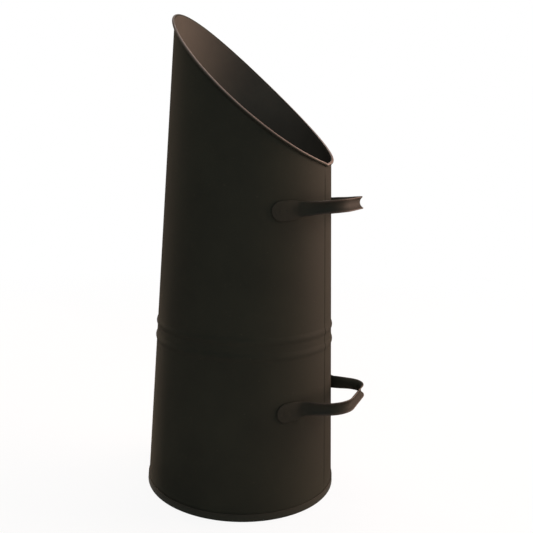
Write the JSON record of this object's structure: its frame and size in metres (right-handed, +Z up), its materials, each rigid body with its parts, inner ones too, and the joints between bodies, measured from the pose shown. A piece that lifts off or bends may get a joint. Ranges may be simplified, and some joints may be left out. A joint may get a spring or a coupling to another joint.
{
  "type": "coal scuttle",
  "caption": "Tapered sheet-steel coal scuttle with a slanted, wired mouth and D-shaped channel handles on its low side.",
  "frame": {"origin": "middle of the footprint (the bounding box seen from above), on the floor that the scuttle stands on", "axes": "+Z up, +X towards the handles on the low side, -X towards the tall pouring side"},
  "size_m": [0.2292, 0.2012, 0.4875],
  "materials": {
    "black_paint": "satin",
    "bare_wire": "drawn"
  },
  "bodies": {
    "root": {"body_wall": "black_paint", "rim_wire": "bare_wire", "base_pan": "black_paint", "upper_handle": "black_paint", "lower_handle": "black_paint"}
  },
  "joints": []
}
